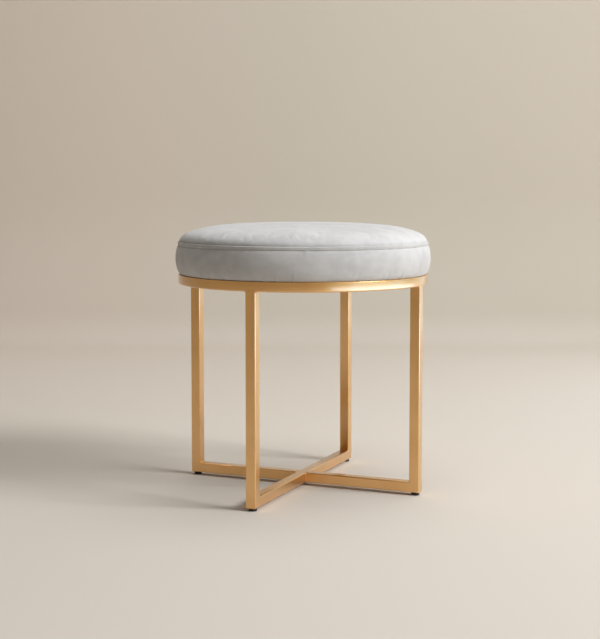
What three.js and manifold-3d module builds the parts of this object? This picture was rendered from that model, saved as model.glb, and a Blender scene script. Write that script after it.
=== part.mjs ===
// A round vanity stool: a boxed velvet cushion on a gold ring, four square legs and crossed floor rails.
// Millimetres, +Z up, with the origin on the floor under the centre of the seat.
// The right leg stands on +X, the back leg on +Y, the left leg on -X and the front leg on -Y.

import * as THREE from 'three';
import { mergeVertices } from 'three/addons/utils/BufferGeometryUtils.js';
import Module from 'manifold-3d';

const wasm = await Module();
wasm.setup();

// Sizes of the welded frame
const ringRadius = 220;          // outside of the seat ring, and the outer faces of the legs
const ringWidth = 18;            // radial width of the ring's box section
const ringHeight = 16.5;         // height of the ring's box section
const ringWall = 1.5;
const ringCorner = 2;            // outside rounding of the ring's section
const tubeSize = 18;             // square tube of the legs and the rails
const tubeWall = 1.5;
const tubeCorner = 2;            // outside rounding of the square tube
const tubeInnerCorner = 0.8;     // rounding inside the square tube
const legLength = 357;           // from the underside of the rails to the underside of the ring
const weldGap = 0.3;             // root gap left for each weld
const ventRadius = 4;            // holes that join the ring's hollow to the hollow of each leg

// Sizes of the push-in glides under the feet
const glideRadius = 7;
const glideHeight = 5;           // floor to the underside of the rails
const glideEdge = 0.8;           // rounding of the lower rim
const stemRadius = 3.7;
const stemLength = 6;
const stemLead = 0.9;            // tapered tip of the stem
const stemClearance = 0.3;       // between the stem and its hole

// Sizes of the seat board and of what fastens it
const boardThickness = 12;
const flangeWidth = 21;          // velvet turned in under the board
const dustCoverThickness = 0.6;
const dustCoverMargin = 2;       // between the dust cover and the inside of the ring
const lugLength = 32;            // from the inside of the ring towards the centre
const lugWidth = 30;
const lugThickness = 3;
const lugCorner = 6;
const boltInset = 16;            // from the inside of the ring to the bolt
const boltRadius = 3;
const boltLength = 20;
const boltHeadRadius = 5.25;
const boltHeadHeight = 3.3;
const boltHeadRim = 1.1;         // height of the head's upright rim
const boltHeadFlat = 3;          // flat end of the domed head, as a radius
const socketRadius = 2.3;        // across the corners of the hexagon socket, as a radius
const socketDepth = 2;
const boltClearance = 0.4;       // between the bolt and each plain hole
const washerRadius = 6;
const washerThickness = 1.6;
const washerClearance = 0.2;     // between the bolt and the washer
const teeNutFlangeRadius = 9;
const teeNutFlangeThickness = 1.2;
const teeNutBarrelRadius = 4;
const teeNutBarrelLength = 9;
const teeNutClearance = 0.3;     // between the T-nut and the board, and the T-nut and the bolt

// Sizes of the cushion
const coverThickness = 1.5;      // velvet with its backing
const waddingThickness = 4;
const baseInset = 2;             // side wall's foot, in from the outside of the ring
const seamFlare = 1.6;           // how much wider the side wall is at the welt than at its foot
const sideSwell = 5.9;           // how far the side wall swells beyond the line between the two
const baseTurn = 3;              // rounding where the side wall turns in under the board
const sideHeight = 54;           // top of the ring to the middle of the welt
const weltRadius = 3.3;          // piping with its fabric
const weltProud = 1.1;           // how far the welt stands out from the top of the side wall
const crownInset = 1.8;          // edge of the top panel, in from the top of the side wall
const crownRise = 31.3;          // edge of the top panel to the middle of the crown
const layGap = 0.3;              // between layers that lie on each other

// Shape of the curves, without units
const crownFlatness = 3.57;      // higher keeps the crown level further out
const crownShoulder = 0.5;       // lower makes the shoulder squarer
const swellFullness = 0.6;       // lower makes the side wall swell sooner

// Counts
const ringSegments = 80;
const clothSegments = 48;
const smallSegments = 16;
const cornerSteps = 2;
const turnSteps = 2;
const crownSteps = 8;
const sideSteps = 7;
const weltSides = 8;
const lugArcSteps = 6;
const hexagonSides = 6;
const quarters = [0, 1, 2, 3];

const overrun = 1;               // how far a cutting shape passes the face that it cuts

// Places worked out from the sizes
const tubeHalf = tubeSize / 2;
const ringInner = ringRadius - ringWidth;
const railBottom = glideHeight;
const ringBottom = railBottom + legLength;
const ringTop = ringBottom + ringHeight;
const legCentre = ringRadius - tubeHalf;
const boltCircle = ringInner - boltInset;
const baseRadius = ringRadius - baseInset;
const seamRadius = baseRadius + seamFlare;
const crownRadius = seamRadius - crownInset;
const weltCentre = seamRadius + weltProud - weltRadius;
const clothBottom = ringTop + layGap;
const boardBottom = clothBottom + coverThickness + layGap;
const boardTop = boardBottom + boardThickness;
const boardRadius = baseRadius - coverThickness - layGap;
const foamBottom = boardTop + layGap;
const weltMiddle = ringTop + sideHeight;
const sideBottom = clothBottom + baseTurn;
const sideTop = weltMiddle - weltRadius - layGap;
const crownEdge = weltMiddle + weltRadius + layGap;
const lugTop = ringTop - dustCoverThickness - layGap;
const washerTop = lugTop - lugThickness - layGap;
const boltSeat = washerTop - washerThickness - layGap;
const counterbore = teeNutFlangeThickness + teeNutClearance;

// Finishes
const finishes = {
  gold: new THREE.MeshStandardMaterial({ color: 0xd2a062, roughness: 0.32, metalness: 1 }),
  velvet: new THREE.MeshStandardMaterial({ color: 0xc6c4c3, roughness: 0.9, metalness: 0 }),
  plywood: new THREE.MeshStandardMaterial({ color: 0xc9a878, roughness: 0.75, metalness: 0 }),
  foam: new THREE.MeshStandardMaterial({ color: 0xe9dfb8, roughness: 0.95, metalness: 0 }),
  wadding: new THREE.MeshStandardMaterial({ color: 0xf2f0ea, roughness: 1, metalness: 0 }),
  dustCloth: new THREE.MeshStandardMaterial({ color: 0x1c1c1e, roughness: 0.95, metalness: 0 }),
  zinc: new THREE.MeshStandardMaterial({ color: 0xb9bcc0, roughness: 0.35, metalness: 1 }),
  blackNylon: new THREE.MeshStandardMaterial({ color: 0x17130f, roughness: 0.5, metalness: 0 }),
};

const stool = new THREE.Group();

function addPiece(name, geometry, finish, turn = 0) {
  const mesh = new THREE.Mesh(geometry, finishes[finish].clone());
  mesh.name = name;
  mesh.rotation.z = turn;
  stool.add(mesh);
}

// Joins and cuts

// A closed geometry as a solid, without the empty triangles that a revolved profile has on its axis
function toSolid(geometry) {
  const bare = geometry.clone();
  bare.deleteAttribute('normal');
  bare.deleteAttribute('uv');
  const merged = mergeVertices(bare);
  const corners = [];
  for (let i = 0; i < merged.index.count; i += 3) {
    const triangle = [merged.index.getX(i), merged.index.getX(i + 1), merged.index.getX(i + 2)];
    if (new Set(triangle).size === 3) {
      corners.push(...triangle);
    }
  }
  const vertProperties = new Float32Array(merged.attributes.position.array);
  const triVerts = new Uint32Array(corners);
  return new wasm.Manifold(new wasm.Mesh({ numProp: 3, vertProperties, triVerts }));
}

function toGeometry(solid) {
  const mesh = solid.getMesh();
  const geometry = new THREE.BufferGeometry();
  geometry.setAttribute('position', new THREE.BufferAttribute(new Float32Array(mesh.vertProperties), 3));
  geometry.setIndex(new THREE.BufferAttribute(new Uint32Array(mesh.triVerts), 1));
  geometry.computeVertexNormals();
  return geometry;
}

function cut(geometry, cutters) {
  let solid = toSolid(geometry);
  for (const cutter of cutters) {
    solid = solid.subtract(toSolid(cutter));
  }
  return toGeometry(solid);
}

// Basic forms

// A body of revolution about Z, from [radius, height] points listed anticlockwise
function revolve(points, segments) {
  const profile = points.map(([radius, height]) => new THREE.Vector2(radius, height));
  return new THREE.LatheGeometry(profile, segments).rotateX(Math.PI / 2);
}

function closed(points) {
  return [...points, points[0]];
}

// Points of a quarter arc, from one angle to the next, about a centre
function quarterArc(radius, height, size, startTurn, steps = cornerSteps) {
  const points = [];
  for (let step = 0; step <= steps; step += 1) {
    const angle = (startTurn + step / steps) * Math.PI / 2;
    points.push([radius + size * Math.cos(angle), height + size * Math.sin(angle)]);
  }
  return points;
}

// A rectangle of [radius, height] points with rounded corners, anticlockwise
function roundedSection(inner, outer, bottom, top, corner) {
  return [
    ...quarterArc(outer - corner, top - corner, corner, 0),
    ...quarterArc(inner + corner, top - corner, corner, 1),
    ...quarterArc(inner + corner, bottom + corner, corner, 2),
    ...quarterArc(outer - corner, bottom + corner, corner, 3),
  ];
}

function plainSection(inner, outer, bottom, top) {
  return [[outer, bottom], [outer, top], [inner, top], [inner, bottom]];
}

// A round bar along Z
function post(radius, bottom, top, segments = smallSegments) {
  return revolve([[0, bottom], [radius, bottom], [radius, top], [0, top]], segments);
}

function roundedSquare(path, half, corner) {
  const inset = half - corner;
  const centres = [[inset, inset], [-inset, inset], [-inset, -inset], [inset, -inset]];
  const points = centres.flatMap(([x, y], turn) => quarterArc(x, y, corner, turn));
  path.setFromPoints(points.map(([x, y]) => new THREE.Vector2(x, y)));
  return path;
}

// A square tube along Z. Each end is square, or mitred by sliding its corners along the tube:
// a mitre of 1 makes the side that faces +X the longer by the tube's width, and 0 keeps the end square.
function squareTube(length, startMitre, endMitre) {
  const shape = roundedSquare(new THREE.Shape(), tubeHalf, tubeCorner);
  shape.holes.push(roundedSquare(new THREE.Path(), tubeHalf - tubeWall, tubeInnerCorner));
  const tube = new THREE.ExtrudeGeometry(shape, { depth: length, steps: 1, bevelEnabled: false });
  const place = tube.attributes.position;
  for (let i = 0; i < place.count; i += 1) {
    const atEnd = place.getZ(i) > length / 2;
    const slide = atEnd ? endMitre * place.getX(i) : -startMitre * place.getX(i);
    place.setZ(i, place.getZ(i) + slide);
  }
  return tube;
}

// The welded frame

function seatRing() {
  const section = roundedSection(ringInner, ringRadius, ringBottom, ringTop, ringCorner);
  const hollow = plainSection(
    ringInner + ringWall, ringRadius - ringWall, ringBottom + ringWall, ringTop - ringWall);
  const vents = quarters.map((quarter) => post(
    ventRadius, ringBottom - overrun, ringBottom + ringWall + overrun,
  ).translate(legCentre, 0, 0).rotateZ(quarter * Math.PI / 2));
  return cut(revolve(closed(section), ringSegments), [revolve(closed(hollow), ringSegments), ...vents]);
}

// A leg on +X: its outer side is the long one, and the foot is mitred at 45 degrees
function leg() {
  const mitreMiddle = railBottom + tubeHalf + weldGap * Math.SQRT2;
  const length = ringBottom - weldGap - mitreMiddle;
  return squareTube(length, 1, 0).translate(legCentre, 0, mitreMiddle);
}

// Lays a tube that stands on Z down along +X, so that the side which faced +X now faces the floor
function layDown(tube) {
  return tube.rotateY(Math.PI / 2);
}

function glideHole(direction) {
  return post(
    stemRadius + stemClearance, railBottom - overrun, railBottom + tubeWall + overrun,
  ).translate(direction * legCentre, 0, 0);
}

// The through rail, first made along X and then turned onto Y
function throughRail() {
  const tube = layDown(squareTube(2 * legCentre, 1, 1));
  tube.translate(-legCentre, 0, railBottom + tubeHalf);
  return cut(tube, [glideHole(-1), glideHole(1)]).rotateZ(Math.PI / 2);
}

// Half of the other rail, on +X: mitred at the leg and square against the through rail
function halfRail() {
  const start = tubeHalf + weldGap;
  const tube = layDown(squareTube(legCentre - start, 0, 1));
  tube.translate(start, 0, railBottom + tubeHalf);
  return cut(tube, [glideHole(1)]);
}

// A push-in glide under the leg on +X
function glide() {
  const padTop = glideHeight - layGap;
  const tip = padTop + stemLength;
  const rim = quarterArc(glideRadius - glideEdge, glideEdge, glideEdge, 3);
  return revolve([
    [0, 0], ...rim,
    [glideRadius, padTop], [stemRadius, padTop],
    [stemRadius, tip - stemLead], [stemRadius - stemLead, tip], [0, tip],
  ], smallSegments).translate(legCentre, 0, 0);
}

// The seat board and its fasteners, each fastener made on +X

function seatBoard() {
  const edge = baseTurn - coverThickness - layGap;
  const board = revolve([
    [0, boardBottom],
    ...quarterArc(boardRadius - edge, boardBottom + edge, edge, 3),
    ...quarterArc(boardRadius - edge, boardTop - edge, edge, 0),
    [0, boardTop],
  ], clothSegments);
  const holes = quarters.flatMap((quarter) => [
    post(teeNutBarrelRadius + teeNutClearance, boardBottom - overrun, boardTop + overrun),
    post(teeNutFlangeRadius + teeNutClearance, boardTop - counterbore, boardTop + overrun),
  ].map((hole) => hole.translate(boltCircle, 0, 0).rotateZ(fastenerTurn(quarter))));
  return cut(board, holes);
}

function dustCover() {
  const bottom = ringTop - dustCoverThickness;
  const sheet = post(ringInner - dustCoverMargin, bottom, ringTop, clothSegments);
  const holes = quarters.map((quarter) => post(
    boltRadius + boltClearance, bottom - overrun, ringTop + overrun,
  ).translate(boltCircle, 0, 0).rotateZ(fastenerTurn(quarter)));
  return cut(sheet, holes);
}

// A flat lug whose outer end follows the inside of the ring
function lug() {
  const half = lugWidth / 2;
  const inner = ringInner - lugLength;
  const weldRadius = ringInner - weldGap;
  const spread = Math.asin(half / weldRadius);
  const shape = new THREE.Shape();
  shape.absarc(0, 0, weldRadius, -spread, spread);
  shape.absarc(inner + lugCorner, half - lugCorner, lugCorner, Math.PI / 2, Math.PI);
  shape.absarc(inner + lugCorner, lugCorner - half, lugCorner, Math.PI, 3 * Math.PI / 2);
  const hole = new THREE.Path();
  hole.absarc(boltCircle, 0, boltRadius + boltClearance, 0, 2 * Math.PI);
  shape.holes.push(hole);
  const plate = new THREE.ExtrudeGeometry(shape, {
    depth: lugThickness, steps: 1, bevelEnabled: false, curveSegments: lugArcSteps,
  });
  return plate.translate(0, 0, lugTop - lugThickness);
}

// A button-head bolt, head down, with a hexagon socket
function seatBolt() {
  const headBottom = boltSeat - boltHeadHeight;
  const body = revolve([
    [0, headBottom], [boltHeadFlat, headBottom],
    [boltHeadRadius, boltSeat - boltHeadRim], [boltHeadRadius, boltSeat],
    [boltRadius, boltSeat], [boltRadius, boltSeat + boltLength], [0, boltSeat + boltLength],
  ], smallSegments);
  const socket = post(socketRadius, headBottom - overrun, headBottom + socketDepth, hexagonSides);
  return cut(body, [socket]).translate(boltCircle, 0, 0);
}

function washer() {
  const section = plainSection(
    boltRadius + washerClearance, washerRadius, washerTop - washerThickness, washerTop);
  return revolve(closed(section), smallSegments).translate(boltCircle, 0, 0);
}

function teeNut() {
  const bore = boltRadius + teeNutClearance;
  const flangeBottom = boardTop - teeNutFlangeThickness;
  const barrelBottom = flangeBottom - teeNutBarrelLength;
  return revolve(closed([
    [bore, barrelBottom], [teeNutBarrelRadius, barrelBottom],
    [teeNutBarrelRadius, flangeBottom], [teeNutFlangeRadius, flangeBottom],
    [teeNutFlangeRadius, boardTop], [bore, boardTop],
  ]), smallSegments).translate(boltCircle, 0, 0);
}

// The bolts stand between the legs
function fastenerTurn(quarter) {
  return (quarter + 1 / 2) * Math.PI / 2;
}

// The cushion

// The crown from its edge to the middle: nearly level inside, with a quick round shoulder.
// An inset gives the same curve that much further in, for the layers underneath.
function crownCurve(inset) {
  const points = [];
  for (let step = 0; step <= crownSteps; step += 1) {
    const angle = (1 - step / crownSteps) * Math.PI / 2;
    const out = step === crownSteps ? 0 : Math.sin(angle) ** (2 / crownFlatness);
    const up = step === 0 ? 0 : Math.cos(angle) ** (2 * crownShoulder);
    points.push([(crownRadius - inset) * out, crownEdge + (crownRise - inset) * up]);
  }
  return points;
}

// Outside of the side wall at a height: a straight line from the ring to the welt, with a swell on it
function sideRadius(height) {
  const along = (height - sideBottom) / (sideTop - sideBottom);
  const swell = Math.max(Math.sin(Math.PI * along), 0) ** swellFullness;
  return baseRadius + (seamRadius - baseRadius) * along + sideSwell * swell;
}

function sideCurve(inset) {
  const points = [];
  for (let step = 0; step <= sideSteps; step += 1) {
    const height = sideBottom + (sideTop - sideBottom) * step / sideSteps;
    points.push([sideRadius(height) - inset, height]);
  }
  return points;
}

// A dome of one thickness under the crown
function crownLayer(outerInset, thickness) {
  const under = crownCurve(outerInset + thickness).reverse();
  return revolve([...under, ...crownCurve(outerInset)], clothSegments);
}

function topPanel() {
  return crownLayer(0, coverThickness);
}

function waddingLayer() {
  return crownLayer(coverThickness + layGap, waddingThickness);
}

function welt() {
  const section = [];
  for (let side = 0; side < weltSides; side += 1) {
    const angle = side / weltSides * 2 * Math.PI;
    section.push([weltCentre + weltRadius * Math.cos(angle), weltMiddle + weltRadius * Math.sin(angle)]);
  }
  return revolve(closed(section), clothSegments);
}

// One face of the side wall with its lower edge turned in flat under the board
function bandCurve(inset) {
  const turnRadius = baseRadius - baseTurn;
  const turn = quarterArc(turnRadius, sideBottom, baseTurn - inset, 3, turnSteps);
  return [[turnRadius - flangeWidth, clothBottom + inset], ...turn, ...sideCurve(inset).slice(1)];
}

function boxingBand() {
  return revolve(closed([...bandCurve(0), ...bandCurve(coverThickness).reverse()]), clothSegments);
}

// The foam fills the cover, drawn in where the welt presses on it
function foamPad() {
  const coverInset = coverThickness + layGap;
  const crown = crownCurve(coverInset + waddingThickness + layGap);
  const side = sideCurve(coverInset).filter(([, height]) => height > foamBottom && height < sideTop);
  return revolve([
    [0, foamBottom], [sideRadius(foamBottom) - coverInset, foamBottom],
    ...side,
    [crown[0][0], sideTop], ...crown,
  ], clothSegments);
}

// Assembly

const legNames = ['right', 'back', 'left', 'front'];

addPiece('seat_ring', seatRing(), 'gold');
legNames.forEach((side, quarter) => {
  addPiece(`leg_${side}`, leg(), 'gold', quarter * Math.PI / 2);
  addPiece(`glide_${side}`, glide(), 'blackNylon', quarter * Math.PI / 2);
});
addPiece('rail_front_back', throughRail(), 'gold');
addPiece('rail_right', halfRail(), 'gold');
addPiece('rail_left', halfRail(), 'gold', Math.PI);

addPiece('seat_board', seatBoard(), 'plywood');
addPiece('dust_cover', dustCover(), 'dustCloth');
for (const quarter of quarters) {
  const turn = fastenerTurn(quarter);
  addPiece(`lug_${quarter + 1}`, lug(), 'gold', turn);
  addPiece(`seat_bolt_${quarter + 1}`, seatBolt(), 'zinc', turn);
  addPiece(`washer_${quarter + 1}`, washer(), 'zinc', turn);
  addPiece(`tee_nut_${quarter + 1}`, teeNut(), 'zinc', turn);
}

addPiece('foam_pad', foamPad(), 'foam');
addPiece('wadding', waddingLayer(), 'wadding');
addPiece('boxing_band', boxingBand(), 'velvet');
addPiece('welt', welt(), 'velvet');
addPiece('top_panel', topPanel(), 'velvet');

export default stool;
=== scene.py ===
import math

import bpy
import numpy as np
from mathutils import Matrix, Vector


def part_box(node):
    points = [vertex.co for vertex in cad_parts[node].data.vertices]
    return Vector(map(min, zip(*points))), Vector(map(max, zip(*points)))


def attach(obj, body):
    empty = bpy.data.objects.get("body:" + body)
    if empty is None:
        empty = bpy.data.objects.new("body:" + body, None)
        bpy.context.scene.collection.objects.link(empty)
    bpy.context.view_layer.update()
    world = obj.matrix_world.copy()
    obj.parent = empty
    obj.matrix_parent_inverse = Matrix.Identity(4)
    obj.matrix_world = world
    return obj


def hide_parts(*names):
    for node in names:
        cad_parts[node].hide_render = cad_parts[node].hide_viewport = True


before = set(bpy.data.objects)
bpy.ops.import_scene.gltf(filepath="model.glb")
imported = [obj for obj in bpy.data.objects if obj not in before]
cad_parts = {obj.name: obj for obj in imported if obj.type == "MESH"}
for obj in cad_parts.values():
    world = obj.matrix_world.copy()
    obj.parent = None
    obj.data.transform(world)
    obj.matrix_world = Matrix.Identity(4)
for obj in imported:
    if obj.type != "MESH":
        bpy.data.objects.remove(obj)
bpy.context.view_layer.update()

# The looks of a round vanity stool: a boxed velvet cushion on a satin gold frame.
# Metres, +Z up, with the origin on the floor under the centre of the seat.

MM = 0.001
QUARTER = math.pi / 2
UP = np.array([0.0, 0.0, 1.0])
CAD_GAP = 0.3 * MM               # what the CAD leaves between neighbouring pieces
SHARP_ANGLE = math.radians(34)   # faces that meet at more than this show an edge

# Sizes of the photograph's camera
IMAGE_HEIGHT = 639               # the long side of the picture, in pixels
SENSOR = 36.0                    # the same in millimetres on the sensor
FOCAL_PIXELS = 1329.379
OPTICAL_ROW = 280                # picture row that the optical axis meets
CAMERA_DISTANCE = 2.3480         # along the floor, from the centre of the stool
CAMERA_HEIGHT = 0.5433
CAMERA_AZIMUTH = math.radians(23.013)
CAMERA_YAW = math.radians(-0.132)
CAMERA_PITCH = math.radians(4.315)

# Sizes of the backdrop, from the centre of the stool
SWEEP_FRONT = -9.0
SWEEP_WALL = 2.44
SWEEP_BEND = 0.5
SWEEP_HEIGHT = 5.0
SWEEP_HALF = 9.0
PAINTED_LIGHT_LEFT = (-1.1, 0.1)          # sideways, from where painted light makes the paper palest to where it is plain
PAINTED_LIGHT_BACK = (0.3, 1.9)           # towards the wall, from where the floor is plain to where painted light makes it palest
WALL_FOOT = (0.0, 0.1)           # heights between which the floor's colour turns into the wall's
FAR_REACH = (2.9, 3.8)           # distances between which the paper turns into an even far colour

# Lamps: azimuth in degrees; distance, height, and width and height of the box in metres; power in
# watts; tint; height that it is aimed at; and whether it is a card that only the gold mirrors
LAMPS = {
    "key": (90, 4.8, 3.25, 2.1, 1.5, 247, (0.99, 1.0, 1.03), 0.4, False),
    "overhead": (100, 0.7, 3.0, 2.6, 2.6, 45, (1.0, 1.0, 1.0), 0.4, False),
    "back": (150, 2.0, 0.9, 1.0, 1.7, 3.3, (0.76, 1.0, 1.15), 0.9, False),
    "card": (92, 1.6, 0.095, 3.2, 0.15, 5.3, (0.67, 1.0, 1.48), 0.25, True),
    "lens": (90, 1.6, 0.215, 1.7, 0.09, 0.8, (0.3, 0.9, 2.0), 0.25, True),
    "reflector": (96, 1.9, 0.42, 2.4, 0.45, 1.5, (0.62, 1.0, 1.55), 0.3, True),
}
WORLD_STRENGTH = 0.086

# Sizes of the gold frame
TUBE_CORNER = 2 * MM
TUBE_WALL = 1.5 * MM
TUBE_INNER_CORNER = 0.8 * MM
TUBE_EDGE = 0.2 * MM             # broken edge where a tube is cut
RING_CORNER = 2 * MM
RING_TOP_CORNER = 0.8 * MM       # tighter, where the cushion lies on the ring
RING_CROWN = 0.35 * MM           # how far the ring's outer face falls away to its two edges
HOLDING = 0.15 * MM              # flat strip kept level beside each rounded corner
TOP_WELD = 2.2 * MM              # concave weld between a leg and the underside of the ring
CROSS_WELD = 0.9 * MM            # dressed weld where the half rails meet the through rail
FLUSH = 0.03 * MM                # how far a dressed weld stands out from the tube
FILLET_FADE = (0.35, 0.9)        # how squarely a side faces the flush one, where its fillet fades
WELD_DRAW_IN = 0.125             # how far a weld draws in at its root, as a share of its depth
MITRE_WELD = 0.8 * MM            # width of the dressed strip on each side of a mitre
MITRE_SHOULDER = 0.7             # share of that width which stands out from the tube
LUG_WIDTH = 30 * MM
LUG_BEAD = 2.4 * MM              # weld bead between each lug and the inside of the ring
BEAD_RIPPLE = 2.1 * MM           # distance between the ripples of that bead
BEAD_RIPPLE_SHARE = 0.08         # how much they change its size
BEAD_WANDER_SHARE = 0.05         # how much it wanders besides
BEAD_WANDER_RATE = 40            # how fast it does, against a turn round the ring
BEAD_WAVES = (1, 5)              # fewest and most waves in that
BEAD_END = 0.1                   # share of its size that is left at its ends
BEAD_ROOT = 0.4 * MM             # how far the bead reaches into the metal

# Sizes of the feet, bolts and washers
FOOT_RIM = 0.8 * MM
STEM_RADIUS = 3.7 * MM
STEM_LEAD = 0.9 * MM             # bevel at the tip of the stem
SHANK_RADIUS = 3 * MM
HEAD_RIM = 1.1 * MM              # the straight edge of a bolt's head
BOLT_EDGE = 0.25 * MM
SOCKET_RADIUS = 2.3 * MM
SOCKET_DEPTH = 2 * MM
SOCKET_LAND = 0.5 * MM           # flat strip round the socket
WASHER_HOLE = 3.2 * MM           # radius of the hole
WASHER_EDGE = 0.3 * MM

# Sizes of the cushion's covers
COVER_THICKNESS = 1.2 * MM
CROWN_FLATNESS = 3.57
CROWN_SHOULDER = 0.5
BASE_INSET = 2 * MM              # foot of the side wall, in from the outside of the ring
SEAM_FLARE = 1.6 * MM            # how much wider the side wall is at the piping than at its foot
SIDE_SWELL = 5.9 * MM
SWELL_FULLNESS = 0.6
BASE_TURN = 1.7 * MM
FLANGE_WIDTH = 21 * MM
SEAM_TUCK = 1.6 * MM             # rounding where the side wall turns in to its seam
CROWN_TUCK = 0.4 * MM            # and where the top panel does
PIPING_SET_BACK = 0.2 * MM       # how far the covers hold the piping back
PIPING_SQUARENESS = 4            # they also press it flat: 2 is round, and higher is squarer
JOIN_ANGLE = QUARTER             # the side wall's own seam, over the back leg
JOIN_DEPTH = 0.8 * MM
JOIN_WIDTH = 0.9 * MM

# Small folds that start at the seams: their number, length and depth, and the seed of their draws
CROWN_FOLDS = (46, 12 * MM, 0.5 * MM, 11)
FOOT_FOLDS = (64, 14 * MM, 0.6 * MM, 12)
SEAM_FOLDS = (40, 10 * MM, 0.4 * MM, 13)
FOLD_WIDTHS = (1.6 * MM, 3.4 * MM)
FOLD_REACHES = (0.5, 1.3)        # least and greatest share of the length
FOLD_DEPTHS = (0.3, 1.0)         # least and greatest root of the share of the depth

# The dust cover and its staples
DUST_SAG = 3 * MM
SAG_REACH = 0.8                  # share of its radius that sags
DUST_FOLD = 0.8 * MM
FOLDS_BEGIN = (0.5, 0.93)        # shares of its radius between which the folds grow
FOLDS_END = (0.96, 1)            # and between which they die away
FOLD_UNEVENNESS = 0.4            # how much their depths differ
FOLD_WAVES = (2, 9)              # fewest and most waves of that round the circle
DUST_MIDDLE = 0.02               # share of its radius that one fan of faces fills
BESIDE_LUG = (0.11, 0.15)        # radians from a lug's middle: nothing nearer, everything further off
STAPLES = 44
STAPLE_RADIUS = 193 * MM
STAPLE_LENGTH = 10 * MM
STAPLE_WIDTH = 1.1 * MM
STAPLE_THICKNESS = 0.5 * MM
WIRE_SQUARENESS = 4              # as for the piping
STAPLE_SCATTER = 0.006           # radians round the circle
STAPLE_LEAN = 0.12               # radians
STAPLE_DRIFT = 0.7 * MM          # in or out

# How the cloth settles
SETTLE_FRAMES = 20
SETTLE_PRESSURE = 4
SETTLE_LIMIT = 1.6 * MM          # the furthest that a point may drift
CROWN_FULLNESS_SHARE = 0.006     # how much larger the cloth is than its room, where it is loosest
BAND_FULLNESS_SHARE = 0.011
FULLNESS_WAVES = (2, 17)         # fewest and most waves of that looseness round the circle
HELD_ROWS = 2                    # rows at each edge that the stitches hold
SETTLE_STEP = 2                  # only every second row and column of the mesh settles
CROWN_STILL_SHARE = 0.42         # share of the top panel's rows, in its middle, that don't settle
WALL_STILL_ROWS = 2              # rows at the foot of the side wall that don't

# Seeds of the draws
CROWN_SEED = 21
BAND_SEED = 22
DUST_SEED = 31
STAPLE_SEED = 41

# Counts
AROUND_RING = 288
AROUND_CLOTH = 720
AROUND_FILLING = 96
AROUND_SMALL = 48
AROUND_PIPING = 40
AROUND_WIRE = 8
CORNER_STEPS = 6
SWEEP_STEPS = 24
SWEEP_COLUMNS = 13
RING_FACE_POINTS = 12
BEAD_ROWS = 96
BEAD_STEPS = 8
DOME_POINTS = 8
CROWN_POINTS = 400
SIDE_POINTS = 200
CROWN_ROWS = 96
WALL_ROWS = 60
LINING_ROWS = 24
FLANGE_ROWS = 8
DUST_ROWS = 60
STAPLE_ROWS = 13
SIDE_THINNING = 8                # the foam keeps every eighth point of the side wall's curve
CROWN_THINNING = 10              # foam and wadding keep every tenth point of the crown's
FIRST_KEPT = 8                   # the wadding's first point from the middle

SIDES = {"right": (1, 0), "back": (0, 1), "left": (-1, 0), "front": (0, -1)}
FIXINGS = range(1, 5)            # one lug, bolt, washer and T-nut in each quarter


# Shapes as arrays of points

def box(node):
    """Lowest and highest corner of a CAD node, as arrays."""
    low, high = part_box(node)
    return np.array(low), np.array(high)


def arc(x, y, radius, start, end, steps=CORNER_STEPS):
    """Points on a circle about (x, y), from one angle to another, both in quarter turns."""
    angle = np.linspace(start, end, steps + 1) * QUARTER
    return np.stack([x + radius * np.cos(angle), y + radius * np.sin(angle)], 1)


def outline(half_width, half_height, corner, top_corner=None):
    """A rounded rectangle: four quarter arcs, each with a short level strip before and after it.
    The two upper corners may have a radius of their own."""
    top = top_corner or corner
    parts = []
    for quarter, (side, level) in enumerate(((1, 1), (-1, 1), (-1, -1), (1, -1))):
        radius = top if level > 0 else corner
        bend = arc(side * (half_width - radius), level * (half_height - radius), radius, quarter, quarter + 1)
        along = np.array([-math.sin(quarter * QUARTER), math.cos(quarter * QUARTER)])
        after = np.array([-along[1], along[0]])
        parts.append(np.vstack([bend[0] - HOLDING * along, bend, bend[-1] + HOLDING * after]))
    return np.vstack(parts)


def evenly(curve, count):
    """The same curve with count points at equal distances along it."""
    gone = np.concatenate([[0], np.cumsum(np.linalg.norm(np.diff(curve, axis=0), axis=1))])
    wanted = np.linspace(0, gone[-1], count)
    return np.stack([np.interp(wanted, gone, curve[:, axis]) for axis in range(curve.shape[1])], 1)


def left_of(curve):
    """Unit vectors to the left of a curve's direction, at each of its points."""
    along = np.gradient(curve, axis=0)
    along /= np.linalg.norm(along, axis=1, keepdims=True)
    return np.stack([-along[:, 1], along[:, 0]], 1)


def inward(curve, distance):
    """A curve in (radius, height) moved sideways by a distance, to the left of its direction."""
    return curve + distance * left_of(curve)


def gone_along(curve):
    """Distance from the start of an evenly spaced curve to each of its points."""
    return np.arange(len(curve)) * np.linalg.norm(np.diff(curve, axis=0), axis=1).mean()


def smooth(low, high, value):
    """0 below low, 1 above high, and a smooth rise between them."""
    share = np.clip((value - low) / (high - low), 0, 1)
    return share * share * (3 - 2 * share)


def ripple(angle, lowest, highest, seed):
    """A wandering line round a circle: a sum of cosines of angle with seeded strengths and phases."""
    draw = np.random.default_rng(seed)
    waves = np.arange(lowest, highest + 1)
    strength = draw.normal(size=len(waves))
    phase = draw.uniform(0, 2 * math.pi, len(waves))
    total = (strength * np.cos(np.multiply.outer(angle, waves) + phase)).sum(-1)
    return total / np.linalg.norm(strength)


def around(count):
    """A number of angles evenly round a circle."""
    return np.arange(count) / count * 2 * math.pi


def squared_circle(count, squareness):
    """Points round a circle of radius 1 that is pressed square: |cos(a)| ** (2 / squareness) across and
    the same of sin(a) up, each with its sign. A squareness of 2 is round."""
    circle = np.stack([np.cos(around(count)), np.sin(around(count))], 1)
    return np.sign(circle) * np.abs(circle) ** (2 / squareness)


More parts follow.
